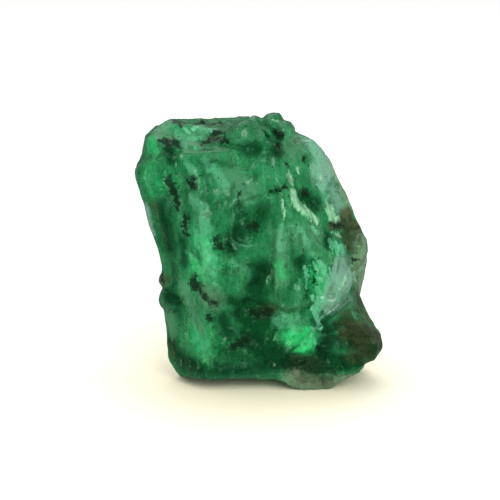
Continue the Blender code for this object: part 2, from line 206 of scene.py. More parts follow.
STAINS = {
    "brown band": (6, 1.5, (347, 216), (351, 228), (353, 244)),
    "brown band edge": (4, 1.2, (357, 222), (361, 232)),
    "under the triangle": (3.5, 1.0, (331, 226), (343, 226)),
    "horn top": (7, 0.6, (346, 314), (360, 308), (370, 318)),
    "horn end": (10, 0.8, (352, 328), (368, 330), (378, 338), (380, 348)),
    "horn middle": (8, 0.55, (346, 334), (364, 344)),
    "horn low": (6, 0.7, (352, 356), (370, 356)),
    "under the patch": (7, 0.45, (298, 362), (308, 362), (315, 366)),
    "left face": (3, 0.55, (151, 205), (156, 206)),
    "left bump": (5, 1.0, (160, 274), (162, 281)),
    "facet foot": (4, 1.0, (356, 292), (358, 304)),
    "foot": (7, 0.55, (300, 380), (330, 385)),
    "olive edge": (5, 0.8, (357, 294), (361, 308), (368, 320)),
    "left chin": (3, 0.6, (164, 348), (166, 356)),
    "grey veil": (7, 0.5, (204, 291), (216, 302)),
    "dark left of the patch": (6, 0.5, (262, 312), (274, 308)),
}
HAZE = {
    "brow lobe": (14, 0.2, (243, 130), (246, 134)),
    "left of the lobe": (8, 1.0, (200, 140), (188, 140)),
    "plate": (15, 0.15, (240, 160), (258, 165), (262, 180)),
    "plate low": (9, 1.0, (232, 178), (246, 190)),
    "flow": (10, 0.1, (282, 290), (290, 302), (300, 306)),
    "column": (5, 1.0, (280, 235), (280, 262), (281, 280)),
    "right of the rib": (8, 0.7, (294, 232), (300, 240)),
    "right flakes": (7, 1.0, (312, 232), (318, 240)),
    "low left": (7, 1.0, (170, 318), (172, 328)),
    "diagonal below the ridge": (6, 1.0, (184, 290), (192, 308), (199, 328)),
    "horn face": (8, 0.15, (330, 352), (350, 354), (362, 350)),
    "top left lobe": (9, 0.7, (165, 125), (158, 132)),
    "right top": (10, 0.8, (300, 140), (290, 150)),
    "grey patch": (8, 1.0, (204, 296), (214, 300)),
    "lobe side": (5, 0.8, (258, 126), (260, 134)),
}
# Painted reflection: smooth faces, the glassy facet and the left rim painted greyish, as the soft light they
# mirror
SHEEN = {
    "upper": (10, 1.25, (316, 146), (322, 158), (327, 170)),
    "lower": (9, 0.65, (330, 182), (335, 196), (340, 206)),
    "inner": (7, 1.0, (316, 170), (322, 184)),
    "facet": (7, 1.7, (348, 276), (344, 290), (340, 300)),
    "facet band": (6, 1.7, (342, 262), (336, 282), (330, 304)),
    "left rim": (4, 1.0, (146, 208), (151, 230), (157, 248)),
}
# Painted light: thin edges, the foot, the glassy knob and a bead painted pale, as light shining through them
PAINTED_THIN_EDGE_LIGHT = {
    "slope rim": (4, 0.7, (330, 162), (337, 176), (343, 192), (350, 206)),
    "glassy knob": (6, 0.8, (362, 234), (365, 245), (362, 252)),
    "clear edge": (9, 1.15, (362, 256), (364, 270), (360, 286)),
    "clear edge inner": (6, 0.8, (354, 268), (355, 280)),
    "foot": (10, 0.95, (296, 381), (312, 386), (330, 386), (344, 379)),
    "bead": (3, 1.0, (247, 116), (250, 115)),
}
# Painted light: bright green places where light coming through the stone is painted in as colour, the glow
# patch most of all
GLOW = {
    "left glow": (10, 0.35, (152, 176), (157, 184)),
    "left glow edge": (7, 0.4, (148, 182), (150, 192)),
    "lobe glow": (6, 0.45, (152, 140), (153, 146)),
    "patch": (8, 1.0, (296, 336), (304, 342)),
    "patch wide": (12, 0.4, (290, 330), (298, 326)),
    "patch right": (6, 0.6, (308, 332), (308, 344)),
    "low left": (9, 0.4, (197, 336), (202, 346)),
    "low left wide": (12, 0.4, (198, 342), (206, 350)),
    "bright middle": (12, 0.5, (202, 250), (206, 262)),
    "bright middle left": (8, 0.5, (197, 268), (200, 272)),
    "bright upper": (9, 0.5, (198, 240), (206, 244)),
    "column glow": (4, 0.5, (278, 262), (281, 276)),
    "right chip": (6, 0.3, (334, 246), (342, 250)),
    "flake glow": (10, 0.55, (316, 276), (322, 292)),
    "patch core": (6, 1.4, (302, 334), (303, 344)),
}
# Painted highlights and glints: bright bands and lines painted where faces catch the light, and small painted
# glints
MINT_GLINTS = {
    "bright band top": (3.2, 1.2, (288, 174), (291, 184)),
    "bright band": (5.2, 1.25, (293, 193), (296, 202), (303, 209)),
    "bright band low": (5.2, 1.25, (306, 211), (315, 219)),
    "triangle": (4.8, 1.3, (329, 210), (333, 219)),
    "triangle low": (5.4, 1.2, (332, 219), (336, 221)),
    "triangle tip": (2, 1.0, (326, 200), (328, 206)),
    "flake h": (2.4, 1.0, (336, 233), (340, 236)),
    "rib": (1.2, 0.8, (282, 196), (283.5, 210), (283, 222)),
    "facet line": (1.4, 1.0, (351, 266), (345, 278), (340, 290)),
    "sheen glint": (1.6, 1.0, (297, 169), (298, 172)),
    "sheen glint right": (1.8, 1.0, (321, 175), (321, 178)),
    "glint on the edge": (1.6, 1.0, (355, 279), (356, 280)),
    "knob glint": (1.8, 1.1, (273, 119), (277, 121)),
}
# Painted shade: dark places where little light comes through the thick stone, and in hollows, gaps and under
# the knobs, the patch and the horn
PAINTED_SHADE_PLACES = {
    "left face": (9, 0.8, (160, 208), (166, 228), (170, 250)),
    "left face low": (7, 0.6, (172, 262), (174, 290), (180, 316)),
    "left side": (6, 1.0, (168, 296), (176, 300)),
    "low left": (10, 0.8, (172, 344), (182, 360), (200, 368)),
    "under": (8, 0.7, (212, 372), (240, 370), (270, 366)),
    "dark hollow": (13, 1.5, (252, 310), (262, 322), (258, 336)),
    "dark hollow low": (10, 1.3, (262, 346), (272, 356)),
    "middle": (11, 0.75, (240, 212), (250, 228), (262, 214)),
    "right of the middle": (8, 0.45, (268, 218), (272, 240)),
    "below the middle": (9, 1.0, (238, 232), (228, 246)),
    "centre": (10, 1.0, (262, 270), (256, 290)),
    "under the knobs": (7, 1.0, (280, 146), (276, 152)),
    "above the plate": (6, 1.0, (248, 150), (258, 149)),
    "low middle": (9, 0.65, (222, 352), (246, 356)),
    "horn left": (7, 1.0, (322, 326), (330, 338), (324, 346)),
    "horn low": (8, 1.0, (318, 356), (340, 362), (356, 362)),
    "below the patch": (7, 1.0, (284, 362), (300, 368)),
    "beside the flakes": (5, 1.0, (300, 262), (311, 276), (310, 288)),
    "sheen hollow": (6, 1.0, (305, 196), (316, 204)),
    "right hollow": (5, 1.0, (326, 236), (328, 246)),
    "grey veil": (5, 1.0, (228, 300), (240, 304)),
    "left of the ridge": (5, 0.6, (180, 236), (184, 262)),
    "lobe shade": (5, 1.0, (168, 150), (172, 160)),
    "below the bright middle": (8, 0.8, (224, 322), (230, 334)),
    "right of the patch": (4, 1.0, (317, 340), (318, 352)),
    "left of the patch": (4, 1.0, (268, 326), (270, 344)),
    "under the patch": (8, 1.8, (294, 362), (312, 364)),
    "gap between flakes": (2.2, 1.2, (312, 262), (315, 276), (315, 290)),
    "gap by the facet": (2.4, 1.2, (335, 262), (333, 280), (330, 296)),
    "gap low": (2.2, 1.0, (306, 296), (310, 306)),
    "horn": (12, 1.2, (346, 334), (372, 342)),
    "horn tip": (7, 1.2, (378, 338), (382, 350)),
    "flow": (9, 0.4, (284, 296), (296, 304)),
    "brow lobe": (9, 0.4, (240, 126), (250, 134)),
    "above the foot": (3, 1.1, (296, 372), (318, 371), (340, 369)),
    "mottle in the patch": (2, 0.9, (284, 322), (287, 333), (284, 342)),
}
# Painted glints: shards inside the stone painted bright green, as light glinting off them
FLAKE_GLINTS = {
    "spindle": (1.7, 1.2, (304.5, 268), (306.5, 278), (307, 288)),
    "shard one": (1.5, 1.2, (313, 262), (318, 274), (320, 283)),
    "shard two": (2.1, 1.2, (320, 262), (326, 274), (331, 286)),
    "shard three": (1.4, 1.0, (329, 268), (333, 280)),
    "shard four": (1.5, 1.1, (318, 272), (322, 283)),
    "middle lump": (3.4, 1.1, (316, 288), (320, 296), (323, 300)),
    "middle lump low": (2.8, 1.0, (313, 297), (318, 303)),
    "low lump": (4.6, 1.1, (315, 308), (319, 316)),
    "low lump end": (2.8, 1.0, (318, 318), (319, 327)),
    "patch edge": (1.2, 1.0, (313, 328), (315, 344)),
    "chip": (4.8, 1.0, (333, 245), (342, 247)),
    "chip low": (2.8, 1.1, (338, 252), (343, 256)),
    "chip left": (1.8, 0.9, (329, 240), (332, 250)),
    "chip top": (1.5, 0.9, (331, 233), (338, 232)),
    "beside the band": (3.2, 0.7, (313, 228), (318, 234)),
    "crest one": (2.4, 0.9, (194, 129), (203, 126)),
    "crest two": (2.2, 0.9, (206, 131), (216, 129)),
    "crest three": (1.6, 0.9, (183, 127), (190, 134)),
}
VEIL = {
    "veil one": (3, 1.0, (197, 149), (206, 162), (210, 170)),
    "veil two": (3.6, 1.0, (212, 166), (218, 176), (226, 185)),
    "veil three": (2.4, 1.0, (187, 163), (193, 172), (199, 180)),
    "veil four": (3, 1.0, (177, 133), (182, 140), (185, 147)),
    "veil five": (2.4, 1.0, (186, 140), (200, 139)),
    "left patch": (5.5, 1.0, (194, 201), (202, 207)),
    "left patch low": (5.5, 1.0, (198, 222), (206, 230)),
    "patch mottle left": (4, 1.0, (277, 318), (281, 326)),
    "patch mottle": (4.6, 1.0, (291, 322), (296, 330)),
    "crest glint": (3, 1.0, (200, 128), (208, 130)),
    "mid glint": (2, 1.0, (214, 284), (215, 285)),
    "rib low": (2.6, 1.0, (281, 226), (279, 250)),
    "horn line": (1.6, 0.5, (318, 336), (338, 332)),
    "upper right": (6, 0.9, (304, 138), (314, 150), (318, 160)),
    "patch top": (6, 1.0, (278, 318), (288, 320), (298, 322)),
    "fan one": (2.5, 1.0, (196, 244), (214, 256)),
    "fan two": (2.5, 1.0, (192, 256), (212, 272)),
    "fan three": (2.0, 0.8, (186, 250), (200, 268)),
    "right of the rib": (4, 0.8, (300, 230), (308, 242), (312, 254)),
    "bright middle": (8, 0.9, (198, 236), (205, 254), (208, 268)),
    "low left": (5, 0.6, (196, 336), (202, 344)),
    "slope": (5, 0.8, (312, 168), (320, 186), (326, 200)),
    "under the plate": (4, 0.6, (232, 262), (246, 270)),
}

# On the sides that the picture doesn't show, the same marks are scattered, the painted shade and painted glow
# among them: how far their noise is shifted, and how large it is in millimetres
HIDDEN = {
    "speck": (0.01, 0.9),
    "stain": (0.02, 2.2),
    "haze": (0.03, 1.9),
    "deep": (0.04, 1.7),
    "glow": (0.05, 2.4),
}

# Every kind of mark, with how softly it fades: its edge is this many times its reach
MARKS = {
    "speck": (SPECKS, 1.6),
    "stain": (STAINS, 2.2),
    "haze": (HAZE, 2.4),
    "sheen": (SHEEN, 2.2),
    "pale": (PAINTED_THIN_EDGE_LIGHT, 2.0),
    "glow": (GLOW, 2.4),
    "mint_glint_and_vein": (MINT_GLINTS, 1.6),
    "flake_glint": (FLAKE_GLINTS, 1.5),
    "veil": (VEIL, 2.2),
    "deep": (PAINTED_SHADE_PLACES, 2.4),
}

# Sizes of the grain in the stone's colour and in its fine bumps, in millimetres
GRAIN = {
    "bend": 0.7,
    "broad": 2.6,
    "mottled": 0.8,
    "fine": 0.2,
    "streaks": 0.55,
    "grit": 0.09,
    "blotch": 0.3,
    "level": 0.4,
    "fibres": 0.13,
    "shards": 0.27,
    "chips": 0.9,
    "veins": 0.8,
    "cross veins": 0.7,
    "cracks": 1.3,
}
BEND_OF_GRAIN = 0.16

# How the grain is drawn out, and its lean: streaks and fibres upright, stain layers level, shards leaning
STREAK_SCALE, FIBRE_SCALE, STREAK_LEAN = (1.0, 1.0, 0.2), (1.0, 1.0, 0.1), (0, math.radians(-6), 0)
LAYER_SCALE, LAYER_LEAN = (0.1, 0.1, 1.0), (0, math.radians(7), 0)
SHARD_SCALE, SHARD_LEAN = (1.0, 1.0, 0.42), (0, math.radians(-14), 0)

# Beryl's index of refraction, how much light goes through, its thin gloss, and its dim green mirroring
BERYL_IOR, CLEARNESS, GLOSS_ROUGHNESS = 1.58, 0.55, 0.12
MIRROR_LEVEL, MIRROR_TINT = 0.15, (0.2, 0.5, 0.36, 1)

# The pale surface: its half width in metres, its colours far from, nearer and close to the stone, where each
# gives way to the next in millimetres, and the tint that makes the first of these edges uneven. The nearer
# and
# close colours are painted shade: a yellowish tint round the stone that stands for its tinted shadow
FLOOR_HALF, FLOOR_ROUGHNESS = 2.0, 0.7
FLOOR_FAR, FLOOR_TINTED_SHADE, FLOOR_CLOSE_TINTED_SHADE = (0.95, 0.95, 0.94, 1), (0.95, 0.92, 0.78, 1), (0.98, 0.91, 0.69, 1)
NEARER_FADE, CLOSE_FADE = (24, 8), (11, 5)
TINT_SIZE, TINT_REACH = 30, 8

# How bright the white room is at its left and right side, and how bright it looks in glossy places
ROOM_LEFT, ROOM_RIGHT, ROOM_MIRRORED = 1.03, 1.25, 0.12

# The soft lights: where they stand and how wide they are in metres, their power in watts, their colour
SOFTBOXES = {
    "back softbox": ((-0.03, 0.14, 0.27), 0.28, 0.2, (1, 1, 0.98)),
    "front softbox": ((0.07, -0.26, 0.15), 0.16, 0.42, (1, 1, 1)),
}


class StoneShape(bpy.types.PropertyGroup):
    """Sizes of the fine skin and its relief"""

    skin_grain: FloatProperty(
        name="Skin grain", description="Edge length of the fine skin",
        default=0.104 * MM, unit="LENGTH",
    )
    chip_size: FloatProperty(
        name="Chip size", description="Width of the chips in the skin",
        default=0.85 * MM, unit="LENGTH",
    )
    chip_depth: FloatProperty(
        name="Chip depth", description="How far the chips tip out of the skin",
        default=0.13 * MM, unit="LENGTH",
    )
    fleck_size: FloatProperty(
        name="Fleck size", description="Width of the smallest chips",
        default=0.34 * MM, unit="LENGTH",
    )
    fleck_depth: FloatProperty(
        name="Fleck depth", description="How far the smallest chips tip",
        default=0.05 * MM, unit="LENGTH",
    )
    line_height: FloatProperty(
        name="Growth line height", description="Height of the growth lines",
        default=0.035 * MM, unit="LENGTH",
    )


class StoneLook(bpy.types.PropertyGroup):
    """Colours on the stone's skin and inside it"""

    green: FloatVectorProperty(
        name="Green", description="Body colour of the stone",
        subtype="COLOR", default=(0.030, 0.345, 0.12),
    )
    # Dark end of the body's random tone, and the colour of the painted shade
    deep_green: FloatVectorProperty(
        name="Dark green and shade", description="Where the stone is dark",
        subtype="COLOR", default=(0.001, 0.034, 0.009),
    )
    # Colour of the painted glow, light coming through the stone
    glow_green: FloatVectorProperty(
        name="Glow green", description="Where light comes back out",
        subtype="COLOR", default=(0.04, 0.93, 0.27),
    )
    # Colour of the painted highlights and glints, and of the faint veins
    mint_glint_and_vein: FloatVectorProperty(
        name="Mint glint and vein", description="Bright flakes and veils",
        subtype="COLOR", default=(0.50, 0.95, 0.58),
    )
    milky: FloatVectorProperty(
        name="Milky", description="Colour of the hazy places",
        subtype="COLOR", default=(0.105, 0.36, 0.18),
    )
    # Colour of the painted sheen, a painted reflection of the light on smooth faces
    sheen_grey: FloatVectorProperty(
        name="Sheen grey", description="Greyish smooth faces",
        subtype="COLOR", default=(0.34, 0.64, 0.48),
    )
    # Colour of the painted light through thin edges
    painted_thin_edge_light: FloatVectorProperty(
        name="Painted thin edge light", description="Thin, nearly colourless edges",
        subtype="COLOR", default=(0.36, 0.52, 0.32),
    )
    speck_black: FloatVectorProperty(
        name="Speck black", description="Colour of the dark specks",
        subtype="COLOR", default=(0.006, 0.012, 0.007),
    )
    stain_brown: FloatVectorProperty(
        name="Stain brown", description="Colour of the stains",
        subtype="COLOR", default=(0.13, 0.115, 0.045),
    )
    # Colour of the painted glints off shards inside the stone, and of the veils
    flake_glint_and_veil_green: FloatVectorProperty(
        name="Flake glint and veil green", description="Crisp shards under the skin",
        subtype="COLOR", default=(0.20, 0.80, 0.44),
    )
    depth_colour: FloatVectorProperty(
        name="Depth colour", description="Colour that light takes on inside",
        subtype="COLOR", default=(0.05, 0.80, 0.40),
    )
    depth: FloatProperty(
        name="Depth", description="How strongly the inside colours light, per metre",
        default=130.0,
    )


def camera_axes():
    """Where the camera stands, and the directions it looks, across the picture and up it."""
    look = Vector((0, math.cos(CAMERA_RISE), -math.sin(CAMERA_RISE)))
    across = Vector((1, 0, 0))
    return CAMERA_AIM - look * CAMERA_DISTANCE, look, across, across.cross(look)


def on_skin(tree, across, down):
    """The point of the skin that shows at a place in the picture, or the nearest one beside it."""
    place, look, right, up = camera_axes()
    step = PIXEL / CAMERA_DISTANCE
    ray = look + right * (across - PICTURE / 2) * step + up * (PICTURE / 2 - down) * step
    hit = tree.ray_cast(place, ray.normalized())[0]
    if hit is None:
        hit = tree.find_nearest(place + ray * CAMERA_DISTANCE)[0]
    return np.array(hit)


def run_on_skin(tree, places):
    """The points of the skin that show at several places in the picture."""
    return [on_skin(tree, across, down) for across, down in places]


def smooth(values):
    """Eases values between 0 and 1, and holds them there."""
    held = np.clip(values, 0, 1)
    return held * held * (3 - 2 * held)


def gap_to_line(points, line):
    """How far each point is from a line through several points."""
    nearest = np.full(len(points), np.inf)
    for start, end in zip(line[:-1], line[1:]):
        run = end - start
        along = np.clip((points - start) @ run / max(run @ run, 1e-12), 0, 1)
        nearest = np.minimum(nearest, np.linalg.norm(points - start - along[:, None] * run, axis=1))
    return nearest


def nearness(points, centre, reach):
    """How near each point is to a centre: 1 there, 0 beyond the reach in millimetres."""
    return smooth(1 - np.linalg.norm(points - centre, axis=1) / (reach * MM))


def wander(points, size, reach):
    """Small soft pushes, so that what is drawn on the skin doesn't keep straight edges."""
    return np.array([noise.noise_vector(Vector(co) / size) for co in points]) * reach


def bulge(mesh, points, normals):
    """How far each point stands out of its surroundings: 1 on sharp edges, -1 in sharp hollows."""
    edges = np.empty(len(mesh.edges) * 2, dtype=np.int32)
    mesh.edges.foreach_get("vertices", edges)
    first, second = edges.reshape(-1, 2).T
    ways = np.bincount(first, minlength=len(points)) + np.bincount(second, minlength=len(points))
    around = points.copy()
    for _ in range(BULGE_PASSES):
        total = np.zeros_like(around)
        for axis in range(3):
            total[:, axis] += np.bincount(first, around[second, axis], minlength=len(points))
            total[:, axis] += np.bincount(second, around[first, axis], minlength=len(points))
        around = total / ways[:, None]
    out = ((points - around) * normals).sum(axis=1)
    return np.clip(out / BULGE_FULL, -1, 1)


def skin_copy(node, name, grain):
    """A closed, finely meshed copy of a node's skin."""
    mesh = bpy.data.meshes.new(name)
    shape = bmesh.new()
    shape.from_mesh(node.data)
    bmesh.ops.remove_doubles(shape, verts=shape.verts[:], dist=0.001 * MM)
    bmesh.ops.recalc_face_normals(shape, faces=shape.faces[:])
    shape.to_mesh(mesh)
    shape.free()
    skin = bpy.data.objects.new(name, mesh)
    bpy.context.scene.collection.objects.link(skin)
    fine = skin.modifiers.new("fine skin", "REMESH")
    fine.mode = "VOXEL"
    fine.voxel_size = grain
    finished = bpy.data.meshes.new_from_object(skin.evaluated_get(bpy.context.evaluated_depsgraph_get()))
    skin.modifiers.clear()
    skin.data = finished
    bpy.data.meshes.remove(mesh)
    finished.name = name
    return skin


def tipped_chips(point, size, blend):
    """Height of a skin broken into flat chips that tip different ways, between about -0.5 and 0.5."""
    gaps, seeds = noise.voronoi(point / size)
    here = point / size
    first = (here - seeds[0]).dot(noise.noise_vector(seeds[0] * 5.3))
    second = (here - seeds[1]).dot(noise.noise_vector(seeds[1] * 5.3))
    share = min(1.0, (gaps[1] - gaps[0]) / blend)
    return second * (0.5 - share / 2) + first * (0.5 + share / 2)


def relief_heights(points, shape, rough):
    """How far each point of the skin moves out, before the seams: chips, flecks and growth lines."""
    heights = np.zeros(len(points))
    right = smooth((points[:, 0] / MM - HORN_FROM) / HORN_FROM_FADE)
    horn = right * smooth((HORN_TOP - points[:, 2] / MM) / HORN_TOP_FADE)
    fleck_shift = Vector((1, 2, 3))
    for index, (co, roughness, lined) in enumerate(zip(points, rough, horn)):
        point = Vector(co)
        bent = point + noise.noise_vector(point / (BEND_SIZE * MM)) * BEND_REACH * MM
        chips = tipped_chips(bent, shape.chip_size, CHIP_BLEND)
        flecks = tipped_chips(bent + fleck_shift, shape.fleck_size, FLECK_BLEND)
        wide, tall = UPRIGHT_ACROSS * MM, UPRIGHT_ALONG * MM
        upright = Vector((bent.x / wide, bent.y / wide, bent.z / tall))
        wide, tall = LEVEL_ALONG * MM, LEVEL_ACROSS * MM
        level = Vector((bent.x / wide, bent.y / wide, (bent.z - LEVEL_LEAN * bent.x) / tall))
        lines = (
            noise.noise(upright) * (1 - lined) * UPRIGHT_SHARE
            + noise.noise(level) * lined * LEVEL_SHARE
        )
        heights[index] = (
            shape.chip_depth * chips * roughness
            + shape.fleck_depth * flecks * roughness
            + shape.line_height * lines
        )
    return heights


def read_vectors(items, name):
    """A row of three numbers for each item."""
    values = np.empty(len(items) * 3)
    items.foreach_get(name, values)
    return values.reshape(-1, 3)


def store_mask(mesh, name, values):
    """Keeps a value for each point of the skin, for the material to read."""
    kept = mesh.attributes.new(name, "FLOAT", "POINT")
    kept.data.foreach_set("value", values.astype(np.float32))


def carve_skin(skin, shape):
    """Moves the points of the fine skin, and stores where each kind of mark lies."""
    noise.seed_set(NOISE_SEED)
    mesh = skin.data
    points = read_vectors(mesh.vertices, "co")
    normals = read_vectors(mesh.vertex_normals, "vector")
    faces = [tuple(face.vertices) for face in mesh.polygons]
    tree = BVHTree.FromPolygons([tuple(co) for co in points], faces)

    rough = np.full(len(points), BROKEN)
    for place, reach, more in ROUGH_PLACES.values():
        rough += more * nearness(points, on_skin(tree, *place), reach)
    away = smooth((normals @ np.array(camera_axes()[1]) + AWAY_START) / AWAY_FADE)
    store_mask(mesh, "away", away)
    rough = np.clip(rough + BROKEN_AWAY * away, *BROKEN_RANGE)

    heights = relief_heights(points, shape, rough)
    for half_width, height, *places in SEAMS.values():
        gap = gap_to_line(points, run_on_skin(tree, places))
        heights += height * MM * smooth(1 - gap / (half_width * 2 * MM))
    for place, reach, height in SWELLS.values():
        heights += height * MM * nearness(points, on_skin(tree, *place), reach)

    wandered = points
    for size, reach in WANDERS:
        wandered = wandered + wander(points, size * MM, reach * MM)
    for kind, (marks, fade) in MARKS.items():
        mask = np.zeros(len(points))
        for reach, strength, *places in marks.values():
            gap = gap_to_line(wandered, run_on_skin(tree, places))
            mask = np.maximum(mask, strength * (1 - gap / (reach * fade * PIXEL)))
        store_mask(mesh, kind, np.clip(mask, 0, 1))

    standing = smooth(points[:, 2] / (FOOTING * MM))
    points = np.clip(points + normals * (heights * standing)[:, None], *np.array(CAD_BOX))
    store_mask(mesh, "bulge", bulge(mesh, points, normals))
    mesh.vertices.foreach_set("co", points.ravel())
    mesh.shade_smooth()
    mesh.update()


class Socket:
    """A node's output that takes part in plain sums. Each sum adds its Math node."""

    def __init__(self, recipe, output):
        self.recipe = recipe
        self.output = output

    def sum(self, operation, first, second, clamp=False):
        return self.recipe.node("Math", {"operation": operation, "use_clamp": clamp}, {0: first, 1: second})

    def __add__(self, other):
        return self.sum("ADD", self, other)

    def __radd__(self, other):
        return self.sum("ADD", other, self)

    def __sub__(self, other):
        return self.sum("SUBTRACT", self, other)

    def __rsub__(self, other):
        return self.sum("SUBTRACT", other, self)

    def __mul__(self, other):
        return self.sum("MULTIPLY", self, other)

    def __rmul__(self, other):
        return self.sum("MULTIPLY", other, self)

    def held(self):
        """Held between 0 and 1."""
        return self.sum("ADD", self, 0.0, clamp=True)

    def unsigned(self):
        """Without its sign."""
        return self.recipe.node("Math", {"operation": "ABSOLUTE"}, {0: self})

    def between(self, low, high, to_low=0.0, to_high=1.0):
        """Eased from low to high."""
        return self.recipe.node(
            "MapRange",
            {"interpolation_type": "SMOOTHSTEP"},
            {"Value": self, "From Min": low, "From Max": high, "To Min": to_low, "To Max": to_high},
        )


class Recipe:
    """The nodes of a material or a world."""

    def __init__(self, owner):
        self.owner = owner
        owner.use_nodes = True
        self.tree = owner.node_tree
        self.tree.nodes.clear()

    def node(self, kind, settings=None, values=None, output=0):
        """Adds a node: its settings first, then the values or links of its sockets."""
        made = self.tree.nodes.new("ShaderNode" + kind)
        for name, value in (settings or {}).items():
            setattr(made, name, value)
        for name, value in (values or {}).items():
            if isinstance(value, Socket):
                self.tree.links.new(value.output, made.inputs[name])
            else:
                made.inputs[name].default_value = value
        return Socket(self, made.outputs[output]) if len(made.outputs) else None

    def blend(self, share, first, second):
        """Mixes two colours."""
        return self.node("Mix", {"data_type": "RGBA"}, {0: share, 6: first, 7: second}, output=2)

    def cloud(self, place, size, detail=2.0, distortion=0.0, roughness=0.5):
        """Soft noise of a size in metres, 0 to 1."""
        values = {"Detail": detail, "Distortion": distortion, "Roughness": roughness}
        return self.node("TexNoise", {}, {"Vector": place, "Scale": 1 / size, **values})

    def cells(self, place, size, output):
        """Cells of a size in metres: a colour for each (output 1), or its middle (output 2)."""
        return self.node("TexVoronoi", {"feature": "F1"}, {"Vector": place, "Scale": 1 / size}, output)

    def vector(self, operation, first, second=None, output=0):
        """Vector sums: the first vector with the second."""
        values = {0: first} if second is None else {0: first, 1: second}
        return self.node("VectorMath", {"operation": operation}, values, output)

    def bent(self, place, size, reach):
        """The place, pushed about by soft noise, so that straight cells wander."""
        wander = self.node("TexNoise", {}, {"Vector": place, "Scale": 1 / size, "Detail": 2.0}, output=1)
        push = self.vector("SUBTRACT", wander, (0.5, 0.5, 0.5))
        return self.vector("ADD", place, self.vector("MULTIPLY", push, (reach * 2, reach * 2, reach * 2)))

    def veins(self, place, size, width):
        """Thin wandering lines."""
        cloud = self.cloud(place, size, detail=3, distortion=0.3)
        return (cloud - 0.5).unsigned().between(width, 0.0)

    def chips(self, place, size):
        """The height of flat chips that each tip their own way, in metres."""
        middle = self.cells(place, size, 2)
        tip = self.vector("SUBTRACT", self.cells(place, size, 1), (0.5, 0.5, 0.5))
        return self.vector("DOT_PRODUCT", self.vector("SUBTRACT", place, middle), tip, output=1)

    def stretched(self, place, scale, turn):
        """The place, drawn out along an axis and turned."""
        values = {"Vector": place, "Scale": scale, "Rotation": turn}
        return self.node("Mapping", {"vector_type": "POINT"}, values)

    def mark(self, name):
        """What the skin stores for a kind of mark."""
        return self.node("Attribute", {"attribute_type": "GEOMETRY", "attribute_name": name}, output=2)


def rgba(colour):
    """A colour with full alpha, as the shader's colour sockets take it."""
    return (colour[0], colour[1], colour[2], 1.0)


